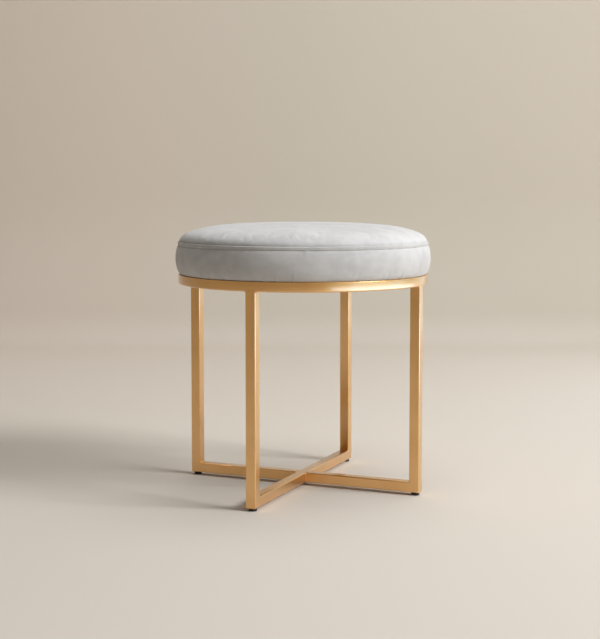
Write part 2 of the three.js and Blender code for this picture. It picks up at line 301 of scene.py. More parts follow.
def turned(profile, count, centre=(0, 0)):
    """Rows of points of a turned body: each (radius, height) of the profile goes round the axis."""
    angle = around(count)
    radius, height = profile[:, :1], np.repeat(profile[:, 1:], count, 1)
    return np.stack([centre[0] + radius * np.cos(angle), centre[1] + radius * np.sin(angle), height], -1)


def on_axis(first, last, centre=(0, 0)):
    """The two tips that close a turned body, at two heights on its axis."""
    return [np.array([centre[0], centre[1], height]) for height in (first, last)]


# Meshes

def grid_faces(count, width, loop_rows, loop_columns):
    """Corner indices of the quads between neighbouring points, and their places on the grid."""
    i, j = np.meshgrid(np.arange(count if loop_rows else count - 1),
                       np.arange(width if loop_columns else width - 1), indexing="ij")
    i, j = i.ravel()[:, None], j.ravel()[:, None]
    down, over = i + np.array([0, 0, 1, 1]), j + np.array([0, 1, 1, 0])
    return down % count * width + over % width, down, over


def skin(name, rows, loop_rows=False, loop_columns=True, tips=(), solid=True):
    """A mesh over rows of points. Neighbours make quads, and two tips close its ends with fans.

    Its UV map holds metres: across the columns and down the rows, each the mean distance gone.
    A solid's faces are turned so that its volume is positive.
    """
    rows = np.asarray(rows, float)
    count, width = rows.shape[:2]
    quads, down, over = grid_faces(count, width, loop_rows, loop_columns)
    step_over = np.linalg.norm(np.roll(rows, -1, 1) - rows, axis=2).mean(0)
    step_down = np.linalg.norm(np.roll(rows, -1, 0) - rows, axis=2).mean(1)
    gone_over = np.concatenate([[0], np.cumsum(step_over)])
    gone_down = np.concatenate([[0], np.cumsum(step_down)])
    points = rows.reshape(-1, 3)
    faces = [quads]
    maps = [np.stack([gone_over[over], gone_down[down]], -1).reshape(-1, 2)]
    column = np.arange(width)
    for tip, row in zip(tips, (0, count - 1)):
        points = np.vstack([points, tip])
        here, there = row * width + column, row * width + (column + 1) % width
        apex = np.full(width, len(points) - 1)
        faces.append(np.stack([apex, here, there] if row else [apex, there, here], 1))
        ends = gone_over[np.stack([column, column, column + 1] if row else [column, column + 1, column], 1)]
        maps.append(np.stack([ends, np.full(ends.shape, gone_down[row])], -1).reshape(-1, 2))
    return mesh_object(name, points, faces, maps, solid)


def signed_volume(points, faces):
    """Sum of the tetrahedra from the origin to each triangle; it is positive if faces point out."""
    total = 0.0
    for block in faces:
        for k in range(1, block.shape[1] - 1):
            a, b, c = points[block[:, 0]], points[block[:, k]], points[block[:, k + 1]]
            total += (a * np.cross(b, c)).sum()
    return total / 6


def mesh_object(name, points, faces, maps, solid):
    """A Blender object at the origin from points, blocks of faces and their UV places."""
    if solid and signed_volume(points - points.mean(0), faces) < 0:
        sizes = [block.shape[1] for block in faces]
        faces = [block[:, ::-1] for block in faces]
        maps = [place.reshape(-1, size, 2)[:, ::-1].reshape(-1, 2) for place, size in zip(maps, sizes)]
    mesh = bpy.data.meshes.new(name)
    mesh.from_pydata(points.tolist(), [], [face for block in faces for face in block.tolist()])
    layer = mesh.uv_layers.new(name="UVMap")
    layer.data.foreach_set("uv", np.vstack(maps).astype(np.float32).ravel())
    mesh.shade_smooth()
    mesh.set_sharp_from_angle(angle=SHARP_ANGLE)
    mesh.update()
    made = bpy.data.objects.new(name, mesh)
    bpy.context.scene.collection.objects.link(made)
    return made


def join(name, pieces):
    """One object from several, in the order given."""
    bpy.ops.object.select_all(action="DESELECT")
    for piece in pieces:
        piece.select_set(True)
    bpy.context.view_layer.objects.active = pieces[0]
    bpy.ops.object.join()
    pieces[0].name = pieces[0].data.name = name
    return pieces[0]


def fit(piece, material, slot, *nodes):
    """Gives a finished piece its material and hides the CAD nodes that it stands for. Its slot is not used.
    """
    piece.data.materials.clear()
    piece.data.materials.append(material)
    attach(piece, "root")
    if nodes:
        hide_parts(*nodes)
    return piece


# Materials

class Signal:
    """A value, colour or vector in a material. Operators on values add Math nodes."""

    def __init__(self, finish, socket):
        self.finish, self.socket = finish, socket

    def __add__(self, other):
        return self.finish.maths("ADD", self, other)

    __radd__ = __add__

    def __sub__(self, other):
        return self.finish.maths("SUBTRACT", self, other)

    def __rsub__(self, other):
        return self.finish.maths("SUBTRACT", other, self)

    def __mul__(self, other):
        return self.finish.maths("MULTIPLY", self, other)

    __rmul__ = __mul__


class Finish:
    """A material in the making, with its Principled shader."""

    def __init__(self, name, **constants):
        self.material = bpy.data.materials.new(name)
        self.material.use_nodes = True
        self.tree = self.material.node_tree
        self.shader = self.tree.nodes["Principled BSDF"]
        for socket, value in constants.items():
            self.shader.inputs[socket.replace("_", " ")].default_value = value

    def feed(self, socket, value):
        """Gives a socket its value, or a link where the value comes from another node."""
        if isinstance(value, Signal):
            self.tree.links.new(value.socket, socket)
        else:
            socket.default_value = value

    def node(self, kind, settings=None, inputs=None, output=0):
        """Adds one node: first its settings, then the values or links of its sockets."""
        made = self.tree.nodes.new(kind)
        for key, value in (settings or {}).items():
            setattr(made, key, value)
        for key, value in (inputs or {}).items():
            self.feed(made.inputs[key], value)
        return Signal(self, made.outputs[output])

    def maths(self, operation, first, second):
        return self.node("ShaderNodeMath", {"operation": operation}, {0: first, 1: second})

    def between(self, value, low, high):
        """0 up to low, 1 from high on, and a smooth rise between them."""
        return self.node("ShaderNodeMapRange", {"interpolation_type": "SMOOTHSTEP"},
                         {"Value": value, "From Min": low, "From Max": high})

    def mixed(self, share, first, second):
        """The first colour at a share of 0 and the second at 1."""
        return self.node("ShaderNodeMix", {"data_type": "RGBA"}, {0: share, 6: first, 7: second}, output=2)

    def noise(self, place, scale, detail=2.0, roughness=0.5, distortion=0.0):
        return self.node("ShaderNodeTexNoise", None,
                         {"Vector": place, "Scale": scale, "Detail": detail,
                          "Roughness": roughness, "Distortion": distortion})

    def cells(self, place, scale, randomness=1.0):
        """Distance to the middle of the nearest cell."""
        return self.node("ShaderNodeTexVoronoi", None,
                         {"Vector": place, "Scale": scale, "Randomness": randomness}, output="Distance")

    def object_place(self):
        return self.node("ShaderNodeTexCoord", output="Object")

    def map_place(self):
        return self.node("ShaderNodeTexCoord", output="UV")

    def stretched(self, place, scale):
        """A place multiplied by a scale for each axis."""
        return self.node("ShaderNodeVectorMath", {"operation": "MULTIPLY"}, {0: place, 1: scale})

    def height_of(self, place):
        return self.node("ShaderNodeSeparateXYZ", None, {0: place}, output="Z")

    def toward(self, place, way):
        """How far a place lies along a direction."""
        return self.node("ShaderNodeVectorMath", {"operation": "DOT_PRODUCT"},
                         {0: place, 1: tuple(way)}, output="Value")

    def bumped(self, height, distance):
        return self.node("ShaderNodeBump", None, {"Height": height, "Distance": distance})

    def wear(self, **sockets):
        """Feeds what changes over the surface to the shader."""
        for socket, value in sockets.items():
            self.feed(self.shader.inputs[socket.replace("_", " ")], value)
        return self.material


def colour(red, green, blue):
    return (red, green, blue, 1.0)


PLATED = {"Metallic": 1.0, "Coat_Weight": 1.0, "Coat_Roughness": 0.18, "Coat_IOR": 2.0}


def gold(name, grain_scale, mapped=True):
    """Satin gold plating over fine linishing: long faint streaks, and cloudy changes in its gloss."""
    finish = Finish(name, **PLATED)
    place = finish.map_place() if mapped else finish.object_place()
    streaks = finish.noise(finish.stretched(place, grain_scale), 1.0, detail=3.0, roughness=0.6)
    clouds = finish.noise(finish.object_place(), 14.0)
    tone = finish.between(clouds * 0.7 + streaks * 0.3, 0.35, 0.65)
    tint = finish.mixed(tone, colour(0.77, 0.41, 0.105), colour(0.83, 0.46, 0.14))
    gloss = 0.28 + clouds * 0.05 + streaks * 0.07
    relief = finish.bumped(streaks, 0.00002)
    return finish.wear(Base_Color=tint, Roughness=gloss, Normal=relief)


def weld_gold():
    """Gold over a dressed weld: a little rougher, with a fine uneven surface."""
    finish = Finish("gold_over_weld", **PLATED)
    place = finish.object_place()
    uneven = finish.noise(place, 420.0, detail=3.0)
    tone = finish.between(uneven, 0.35, 0.65)
    tint = finish.mixed(tone, colour(0.76, 0.405, 0.10), colour(0.82, 0.455, 0.135))
    return finish.wear(Base_Color=tint, Roughness=0.3 + uneven * 0.1, Normal=finish.bumped(uneven, 0.00008))


def velvet(name, dark, light):
    """Short-pile velvet: strokes where the nap lies another way, soft blotches and a fine pile."""
    finish = Finish(name, Diffuse_Roughness=0.15, Sheen_Weight=0.2, Sheen_Roughness=0.35,
                    Sheen_Tint=colour(1.0, 0.99, 0.98), Specular_IOR_Level=0.12)
    place = finish.object_place()
    strokes = finish.noise(finish.stretched(place, (1.0, 1.0, 1.6)), 15.0, distortion=0.6)
    blotches = finish.noise(place, 55.0, detail=3.0, roughness=0.55)
    pile = finish.noise(place, 900.0)
    nap = strokes * 0.5 + blotches * 0.35 + pile * 0.15
    tone = finish.between(nap, 0.36, 0.64)
    tint = finish.mixed(tone, dark, light)
    rough = 0.95 - tone * 0.15
    relief = finish.bumped(pile * 0.7 + blotches * 0.3, 0.00035)
    return finish.wear(Base_Color=tint, Roughness=rough, Normal=relief)


def black_nylon():
    """Moulded black nylon with a fine spark-eroded texture, scuffed paler here and there."""
    finish = Finish("black_nylon", Specular_IOR_Level=0.4)
    place = finish.object_place()
    texture = finish.noise(place, 2600.0)
    scuffs = finish.noise(finish.stretched(place, (1.0, 1.0, 6.0)), 240.0, detail=4.0, roughness=0.7)
    worn = finish.between(scuffs, 0.58, 0.72)
    tint = finish.mixed(worn, colour(0.016, 0.014, 0.012), colour(0.05, 0.046, 0.042))
    return finish.wear(Base_Color=tint, Roughness=0.42 + worn * 0.2, Normal=finish.bumped(texture, 0.00005))


def dust_cloth():
    """Black non-woven cloth: matted fibres with rows of small bonded points."""
    finish = Finish("black_nonwoven", Sheen_Weight=0.15, Sheen_Roughness=0.5)
    place = finish.object_place()
    points = finish.cells(place, 620.0, randomness=0.15)
    fibres = finish.noise(place, 1500.0, detail=4.0, roughness=0.7, distortion=1.5)
    pressed = 1 - finish.between(points, 0.2, 0.42)
    tint = finish.mixed(fibres, colour(0.012, 0.012, 0.013), colour(0.034, 0.034, 0.036))
    relief = finish.bumped(fibres * 0.5 - pressed * 0.5, 0.00025)
    return finish.wear(Base_Color=tint, Roughness=0.95 - pressed * 0.25, Normal=relief)


def zinc():
    """Bright zinc plating with a faint blue and yellow cast and a fine grain."""
    finish = Finish("bright_zinc", Metallic=1.0)
    place = finish.object_place()
    cast = finish.noise(place, 130.0)
    grain = finish.noise(place, 1800.0)
    tint = finish.mixed(finish.between(cast, 0.35, 0.65), colour(0.56, 0.59, 0.63), colour(0.66, 0.65, 0.60))
    return finish.wear(Base_Color=tint, Roughness=0.26 + grain * 0.2, Normal=finish.bumped(grain, 0.00003))


def plywood():
    """Birch plywood: long grain on its faces and darker glue lines through its edge."""
    finish = Finish("birch_plywood", Specular_IOR_Level=0.3)
    place = finish.object_place()
    along_grain = finish.stretched(place, (9.0, 140.0, 9.0))
    grain = finish.noise(along_grain, 1.0, detail=4.0, roughness=0.6, distortion=0.4)
    layer = finish.maths("PINGPONG", finish.height_of(place), 0.0012)
    glue = 1 - finish.between(layer, 0.0, 0.00025)
    wood = finish.mixed(finish.between(grain, 0.35, 0.7), colour(0.62, 0.43, 0.24), colour(0.46, 0.29, 0.14))
    tint = finish.mixed(glue * 0.35, wood, colour(0.2, 0.11, 0.05))
    return finish.wear(Base_Color=tint, Roughness=0.7 + grain * 0.15, Normal=finish.bumped(grain, 0.0001))


def foam():
    """Cut upholstery foam: cream, with open cells."""
    finish = Finish("upholstery_foam", Specular_IOR_Level=0.1)
    place = finish.object_place()
    cells = finish.cells(place, 900.0)
    tint = finish.mixed(cells, colour(0.72, 0.62, 0.40), colour(0.80, 0.72, 0.50))
    return finish.wear(Base_Color=tint, Roughness=0.9 + cells * 0.1, Normal=finish.bumped(cells, 0.0004))


def fibre():
    """White polyester wadding with loose curling fibres."""
    finish = Finish("polyester_fibre", Sheen_Weight=0.2, Sheen_Roughness=0.5)
    curls = finish.noise(finish.object_place(), 260.0, detail=5.0, roughness=0.7, distortion=2.0)
    tint = finish.mixed(curls, colour(0.78, 0.77, 0.74), colour(0.86, 0.86, 0.84))
    return finish.wear(Base_Color=tint, Roughness=0.9 + curls * 0.1, Normal=finish.bumped(curls, 0.001))


# The gold frame

RING_LOW, RING_HIGH = box("seat_ring")
LEG_LOW, LEG_HIGH = box("leg_right")
RAIL_LOW, RAIL_HIGH = box("rail_front_back")
RING_RADIUS = RING_HIGH[0]
TUBE_HALF = (LEG_HIGH[1] - LEG_LOW[1]) / 2
RING_INNER = RING_RADIUS - 2 * TUBE_HALF
RAIL_MIDDLE = RAIL_LOW[2] + TUBE_HALF
LEG_CENTRE = RING_RADIUS - TUBE_HALF


def seat_ring():
    """A rounded rectangle carried round a circle. Its outer face is slightly crowned:
    it falls away with the square of the height above or below its middle."""
    half_height = (RING_HIGH[2] - RING_LOW[2]) / 2
    section = outline(TUBE_HALF, half_height, RING_CORNER, RING_TOP_CORNER)
    section = np.vstack([section, np.linspace(section[-1], section[0], RING_FACE_POINTS + 2)[1:-1]])
    fall = RING_CROWN * (section[:, 1] / half_height) ** 2
    section[:, 0] -= fall * (section[:, 0] > 0)
    section += [LEG_CENTRE, RING_LOW[2] + half_height]
    return skin("ring_tube", turned(section, AROUND_RING), loop_rows=True)


def square_tube(name, start, end, long_side, start_mitre, end_mitre):
    """A rounded square carried from start to end, outside and bore.

    A mitred end slides along the tube by its distance towards the long side.
    """
    start, end, long_side = (np.array(value, float) for value in (start, end, long_side))
    length = np.linalg.norm(end - start)
    axis = (end - start) / length
    side = np.cross(axis, long_side)
    outer = outline(TUBE_HALF, TUBE_HALF, TUBE_CORNER)
    broken = outline(TUBE_HALF - TUBE_EDGE, TUBE_HALF - TUBE_EDGE, TUBE_CORNER - TUBE_EDGE)
    bore = outline(TUBE_HALF - TUBE_WALL, TUBE_HALF - TUBE_WALL, TUBE_INNER_CORNER)

    def cut(shape, at_end, set_back):
        """The shape where the tube is cut, its whole face set back by a little."""
        mitre = end_mitre if at_end else -start_mitre
        along = (length - set_back if at_end else set_back) + mitre * shape[:, 0]
        return start + np.outer(along, axis) + np.outer(shape[:, 0], long_side) + np.outer(shape[:, 1], side)

    rows = [cut(bore, False, 0), cut(broken, False, 0), cut(outer, False, TUBE_EDGE),
            cut(outer, True, TUBE_EDGE), cut(broken, True, 0), cut(bore, True, 0)]
    return skin(name, rows, loop_rows=True)


def leg_tube(side, outward):
    """A leg, from its mitre at the rail's middle up to the ring."""
    low, high = box(f"leg_{side}")
    middle = (low + high) / 2
    start = (middle[0], middle[1], low[2] + TUBE_HALF)
    end = (middle[0], middle[1], high[2])
    return square_tube(f"leg_tube_{side}", start, end, outward, 1, 0)


def through_rail():
    """The rail that runs from the front leg to the back one, mitred at both ends."""
    start = (0, RAIL_LOW[1] + TUBE_HALF, RAIL_MIDDLE)
    end = (0, RAIL_HIGH[1] - TUBE_HALF, RAIL_MIDDLE)
    return square_tube("rail_tube_front_back", start, end, -UP, 1, 1)


def half_rail(side, outward):
    """Half of the other rail, square against the through rail and mitred at the leg."""
    low, high = box(f"rail_{side}")
    near = min(abs(low[0]), abs(high[0]))
    start = near * outward + RAIL_MIDDLE * UP
    end = LEG_CENTRE * outward + RAIL_MIDDLE * UP
    return square_tube(f"rail_tube_{side}", start, end, -UP, 0, 1)


def tube_weld(name, place, into, flush_side, fillet, depth, both_flush):
    """A weld round the end of a tube: a concave quarter round on the open sides, level on the others.

    Each point of the tube's outline moves out along the outline's normal by the fillet's reach,
    times how open its side is. The rows go up the fillet, into the metal and back inside.
    """
    shape = outline(TUBE_HALF, TUBE_HALF, TUBE_CORNER)
    along = np.roll(shape, -1, 0) - np.roll(shape, 1, 0)
    normal = np.stack([along[:, 1], -along[:, 0]], 1)
    normal /= np.linalg.norm(normal, axis=1, keepdims=True)
    facing = np.abs(normal[:, 0]) if both_flush else normal[:, 0]
    open_share = 1 - smooth(*FILLET_FADE, facing)
    turn = np.linspace(0, QUARTER, CORNER_STEPS + 1)
    root = -WELD_DRAW_IN * depth
    reach = np.concatenate([fillet * (1 - np.cos(turn)), [fillet, 0, root, -TUBE_WALL, -TUBE_WALL]])
    level = np.concatenate([fillet * (np.sin(turn) - 1), [FLUSH, depth, 2 * depth, 2 * depth, -fillet]])
    other = np.cross(into, flush_side)
    rows = []
    for out, up in zip(reach, level):
        spread = FLUSH + np.maximum(out, 0) * open_share + min(out, 0)
        moved = shape + normal * spread[:, None]
        rows.append(place + up * into + np.outer(moved[:, 0], flush_side) + np.outer(moved[:, 1], other))
    return skin(name, rows, loop_rows=True)


def mitre_weld(side, outward):
    """A dressed strip over a mitre: the tube's outline in the mitre plane, a little larger,
    with a strip that follows the leg on one side of it and the rail on the other."""
    gap = box(f"leg_{side}")[0][2] - RAIL_LOW[2]
    middle = LEG_CENTRE * outward + RAIL_MIDDLE * UP + gap / 2 * UP
    other = np.cross(UP, outward)
    rows = []
    for size, lift, draw in ((0, 1, 0), (FLUSH, MITRE_SHOULDER, 0), (FLUSH, 0, MITRE_SHOULDER), (0, 0, 1),
                             (-TUBE_WALL, 0, 1), (-TUBE_WALL, 1, 0)):
        shape = outline(TUBE_HALF + size, TUBE_HALF + size, TUBE_CORNER)
        row = middle + np.outer(shape[:, 0], outward - UP) + np.outer(shape[:, 1], other)
        rows.append(row + lift * MITRE_WELD * UP - draw * MITRE_WELD * outward)
    return skin(f"mitre_weld_{side}", rows, loop_rows=True)


def lug_angle(number):
    """Where a lug is round the ring: in the middle of its quarter."""
    return (number - 0.5) * QUARTER


def lug_weld(number):
    """A weld bead under a lug's outer end: a quarter circle in the corner between the lug and the
    ring, carried round the ring. Its size ripples as a cosine along the bead and closes at both
    ends by the root of 1 - share ** 8."""
    half = LUG_WIDTH / 2
    angle = np.linspace(-1, 1, BEAD_ROWS) * math.asin(half / RING_INNER)
    gone = angle * RING_INNER
    ripples = BEAD_RIPPLE_SHARE * np.cos(2 * math.pi * gone / BEAD_RIPPLE)
    wander = BEAD_WANDER_SHARE * ripple(angle * BEAD_WANDER_RATE, *BEAD_WAVES, number)
    size = LUG_BEAD * (1 + ripples + wander)
    size *= np.sqrt(np.clip(1 - (np.abs(gone) / half) ** 8, BEAD_END ** 2, 1))
    turn = np.linspace(0, QUARTER, BEAD_STEPS + 1)
    curve = size[:, None, None] * np.stack([-np.sin(turn), -np.cos(turn)], 1)
    root = np.full(len(size), BEAD_ROOT)
    before = np.stack([root, -size], 1)[:, None]
    behind = np.stack([np.stack([-size, root], 1), np.stack([root, root], 1)], 1)
    section = np.concatenate([before, curve, behind], 1)
    radius, height = RING_INNER + section[..., 0], box(f"lug_{number}")[0][2] + section[..., 1]
    round_it = angle[:, None] + lug_angle(number)
    rows = np.stack([radius * np.cos(round_it), radius * np.sin(round_it), height], -1)
    return skin(f"lug_weld_{number}", rows, tips=(rows[0].mean(0), rows[-1].mean(0)))


def foot_pad(side):
    """A turned foot with a rounded rim, a flat face down and a stem inside the tube."""
    low, high = box(f"glide_{side}")
    centre = (low + high) / 2
    radius = (high[0] - low[0]) / 2
    pad_top = RAIL_LOW[2] - CAD_GAP
    top_rim = FOOT_RIM / 2
    profile = np.vstack([
        arc(radius - FOOT_RIM, FOOT_RIM, FOOT_RIM, 3, 4),
        arc(radius - top_rim, pad_top - top_rim, top_rim, 0, 1),
        [[STEM_RADIUS, pad_top], [STEM_RADIUS, high[2] - STEM_LEAD], [STEM_RADIUS - STEM_LEAD, high[2]]]])
    rows = turned(profile, AROUND_SMALL, centre)
    return skin(f"foot_pad_{side}", rows, tips=on_axis(low[2], high[2], centre))


def build_frame():
    along_ring = gold("satin_gold_ring", (18.0, 900.0, 1.0))
    along_tube = gold("satin_gold_tube", (900.0, 18.0, 1.0))
    flat = gold("satin_gold_plate", (300.0, 300.0, 300.0), mapped=False)
    welded = weld_gold()
    nylon = black_nylon()
    fit(seat_ring(), along_ring, "gold_metal", "seat_ring")
    fit(through_rail(), along_tube, "gold_metal", "rail_front_back")
    for side, direction in SIDES.items():
        outward = np.array([*direction, 0.0])
        fit(leg_tube(side, outward), along_tube, "gold_metal", f"leg_{side}")
        fit(foot_pad(side), nylon, "black_nylon", f"glide_{side}")
        top = LEG_CENTRE * outward + RING_LOW[2] * UP
        top_weld = tube_weld(f"top_weld_{side}", top, UP, outward, TOP_WELD, RING_CORNER, False)
        fit(top_weld, welded, "gold_metal")
        fit(mitre_weld(side, outward), welded, "gold_metal")
        if direction[0]:
            fit(half_rail(side, outward), along_tube, "gold_metal", f"rail_{side}")
            face = TUBE_HALF * outward + RAIL_MIDDLE * UP
            cross = tube_weld(f"cross_weld_{side}", face, -outward, UP, CROSS_WELD, TUBE_CORNER, True)
            fit(cross, welded, "gold_metal")
    for number in FIXINGS:
        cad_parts[f"lug_{number}"].material_slots[0].material = flat
        fit(lug_weld(number), welded, "gold_metal")


# Fasteners under the seat

def bolt(number):
    """A button-head bolt, turned round its axis. From its socket to its rim the head falls away with
    the square of the share gone, and the socket is a hexagon: its radius times
    cos(30 degrees) / cos(angle from the middle of the nearest side)."""
    low, high = box(f"seat_bolt_{number}")
    centre = (low + high) / 2
    radius = (high[0] - low[0]) / 2
    seat = box(f"washer_{number}")[0][2] - CAD_GAP
    floor = low[2] + SOCKET_DEPTH
    dome = np.stack([np.linspace(SOCKET_RADIUS + SOCKET_LAND, radius, DOME_POINTS),
                     low[2] + (seat - HEAD_RIM - low[2]) * np.linspace(0, 1, DOME_POINTS) ** 2], 1)
    profile = np.vstack([
        [[SOCKET_RADIUS, floor], [SOCKET_RADIUS, low[2] + BOLT_EDGE], [SOCKET_RADIUS + BOLT_EDGE, low[2]]],
        dome, [[radius, seat - BOLT_EDGE], [radius - BOLT_EDGE, seat], [SHANK_RADIUS, seat]],
        [[SHANK_RADIUS, high[2] - BOLT_EDGE], [SHANK_RADIUS - BOLT_EDGE, high[2]]]])
    rows = turned(profile, AROUND_SMALL, centre)
    side = math.pi / 3
    hexagon = math.cos(side / 2) / np.cos((around(AROUND_SMALL) + side / 2) % side - side / 2)
    rows[:2, :, :2] = centre[:2] + (rows[:2, :, :2] - centre[:2]) * hexagon[:, None]
    return skin(f"bolt_{number}", rows, tips=on_axis(floor + BOLT_EDGE, high[2], centre))


def plain_washer(number):
    """A flat ring with its edges just broken."""
    low, high = box(f"washer_{number}")
    middle = (low + high) / 2
    half_width = ((high[0] - low[0]) / 2 - WASHER_HOLE) / 2
    section = outline(half_width, (high[2] - low[2]) / 2, WASHER_EDGE) + [WASHER_HOLE + half_width, middle[2]]
    return skin(f"flat_washer_{number}", turned(section, AROUND_SMALL, middle), loop_rows=True)


def build_fasteners(plated):
    for number in FIXINGS:
        fit(bolt(number), plated, "zinc_steel", f"seat_bolt_{number}")
        fit(plain_washer(number), plated, "zinc_steel", f"washer_{number}")
        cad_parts[f"tee_nut_{number}"].material_slots[0].material = plated
    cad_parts["seat_board"].material_slots[0].material = plywood()


# The cushion

CROWN_LOW, CROWN_HIGH = box("top_panel")
BAND_LOW, BAND_HIGH = box("boxing_band")
WELT_LOW, WELT_HIGH = box("welt")
BASE_RADIUS = RING_RADIUS - BASE_INSET
SEAM_RADIUS = BASE_RADIUS + SEAM_FLARE


def crown_curve(inset):
    """The crown from its middle to its edge, in (radius, height): with t from 0 to a quarter turn,
    the radius is sin(t) ** (2 / flatness) and the height is cos(t) ** (2 * shoulder)."""
    turn = np.linspace(0, QUARTER, CROWN_POINTS)
    radius = (CROWN_HIGH[0] - inset) * np.sin(turn) ** (2 / CROWN_FLATNESS)
    rise = (CROWN_HIGH[2] - CROWN_LOW[2] - inset) * np.maximum(np.cos(turn), 0) ** (2 * CROWN_SHOULDER)
    return np.stack([radius, CROWN_LOW[2] + rise], 1)


def side_curve(inset):
    """The side wall from its foot to its seam: a line that leans out, with a swell of
    sin(pi * share) ** fullness on it."""
    share = np.linspace(0, 1, SIDE_POINTS)
    bottom = BAND_LOW[2] + BASE_TURN
    swell = SIDE_SWELL * np.maximum(np.sin(math.pi * share), 0) ** SWELL_FULLNESS
    radius = BASE_RADIUS + (SEAM_RADIUS - BASE_RADIUS) * share + swell - inset
    return np.stack([radius, bottom + (BAND_HIGH[2] - bottom) * share], 1)


def settled(rows, fullness, seed):
    """Cloth settling over its filling: how far each point drifts outwards and upwards.

    The cloth is held along its two edges and is a little larger than its room, by a share that
    wanders round the circle, and pressure pushes it out for twenty frames. Each row keeps its
    mean, and a longer drift is scaled down to the limit.
    """
    count, width = rows.shape[:2]
    cloth = skin("settling_cloth", rows)
    held = cloth.vertex_groups.new(name="held")
    held.add([*range(HELD_ROWS * width), *range((count - HELD_ROWS) * width, count * width)], 1.0, "REPLACE")
    loose = cloth.vertex_groups.new(name="loose")
    share = 0.5 + 0.5 * np.clip(ripple(around(width), *FULLNESS_WAVES, seed), -1, 1)
    for column in range(width):
        loose.add([*range(column, count * width, width)], float(share[column]), "REPLACE")
    fabric = cloth.modifiers.new("fabric", "CLOTH")
    fabric.collision_settings.use_collision = False
    fabric.point_cache.frame_start, fabric.point_cache.frame_end = 1, SETTLE_FRAMES
    make = fabric.settings
    make.quality, make.mass = 6, 0.25
    make.tension_stiffness = make.compression_stiffness = 25
    make.shear_stiffness, make.bending_stiffness = 10, 0.5
    make.use_pressure, make.uniform_pressure_force = True, SETTLE_PRESSURE
    make.effector_weights.gravity = 0
    make.vertex_group_mass, make.vertex_group_shrink = "held", "loose"
    make.shrink_min, make.shrink_max = 0, -fullness
    for moment in range(1, SETTLE_FRAMES + 1):
        bpy.context.scene.frame_set(moment)
    bpy.context.view_layer.objects.active = cloth
    bpy.ops.object.modifier_apply(modifier=fabric.name)
    places = np.empty(rows.size, np.float32)
    cloth.data.vertices.foreach_get("co", places)
    bpy.data.objects.remove(cloth)
    bpy.context.scene.frame_set(1)
    drift = places.reshape(rows.shape) - rows
    outward = rows[..., :2] / np.linalg.norm(rows[..., :2], axis=2, keepdims=True)
    drift = np.stack([(drift[..., :2] * outward).sum(-1), drift[..., 2]], -1)
    drift -= drift.mean(1, keepdims=True)
    size = np.linalg.norm(drift, axis=2, keepdims=True)
    return drift * np.minimum(1, SETTLE_LIMIT / np.maximum(size, SETTLE_LIMIT))


def finer(drift, rows, columns):
    """The same drift on a finer grid, straight between its rows and round between its columns."""
    place = np.arange(columns) * drift.shape[1] / columns
    low, part = place.astype(int), place % 1
    high = (low + 1) % drift.shape[1]
    drift = drift[:, low] * (1 - part)[None, :, None] + drift[:, high] * part[None, :, None]
    place = np.linspace(0, len(drift) - 1, rows)
    low = np.minimum(place.astype(int), len(drift) - 2)
    part = (place - low)[:, None, None]
    return drift[low] * (1 - part) + drift[low + 1] * part


def creases(from_seam, radius, number, length, depth, seed):
    """Small folds that start at a seam, as depths on a grid. Each is a narrow dip with a low ridge
    beside it, exp(-u ** 2) - 0.6 * exp(-(u - 2) ** 2) with u the share of its width, and dies away
    as exp(-(distance / length) ** 2)."""
    draw = np.random.default_rng(seed)
    place = draw.uniform(0, 2 * math.pi, number)
    width = draw.uniform(*FOLD_WIDTHS, number)
    reach = draw.uniform(*FOLD_REACHES, number) * length
    deep = draw.uniform(*FOLD_DEPTHS, number) ** 2 * depth
    across = (around(AROUND_CLOTH)[:, None] - place + math.pi) % (2 * math.pi) - math.pi
    share = across * radius / width
    fold = np.exp(-share ** 2) - 0.6 * np.exp(-(share - 2) ** 2)
    fade = np.exp(-(from_seam[:, None] / reach) ** 2)
    return -(fade * deep) @ fold.T


def dressed(profile, first, fullness, seed, folds):
    """Rows of a cover with its drift and its folds. The cloth settles from the first row named to the
    last of the profile, and the folds push it in along its normal."""
    rows = turned(profile, AROUND_CLOTH)
    out = np.zeros(rows.shape[:2] + (2,))
    part = rows[first::SETTLE_STEP, ::SETTLE_STEP]
    used = SETTLE_STEP * (len(part) - 1) + 1
    out[first:first + used] += finer(settled(part, fullness, seed), used, AROUND_CLOTH)
    facing = left_of(profile)
    facing *= np.sign((facing * (profile - profile.mean(0))).sum())
    out += folds[..., None] * facing[:, None, :]
    angle = around(AROUND_CLOTH)
    rows[..., 0] += out[..., 0] * np.cos(angle)
    rows[..., 1] += out[..., 0] * np.sin(angle)
    rows[..., 2] += out[..., 1]
    return rows


def crown_cover():
    """The top panel: the crown turned round the axis, tucked in at its seam, and a lining below it."""
    edge = arc(CROWN_HIGH[0] - CROWN_TUCK, CROWN_LOW[2], CROWN_TUCK, 0, -1)
    curve = np.vstack([crown_curve(0), edge[1:]])
    outer = evenly(curve, CROWN_ROWS)[1:]
    lining = evenly(inward(curve, -COVER_THICKNESS), LINING_ROWS)[1:][::-1]
    folds = creases(gone_along(outer)[::-1], CROWN_HIGH[0], *CROWN_FOLDS)
    first = int(CROWN_STILL_SHARE * len(outer))
    cover = dressed(outer, first, CROWN_FULLNESS_SHARE, CROWN_SEED, folds)
    rows = np.concatenate([cover, turned(lining, AROUND_CLOTH)])
    return skin("crown_cover", rows, tips=on_axis(CROWN_HIGH[2], CROWN_HIGH[2] - COVER_THICKNESS))


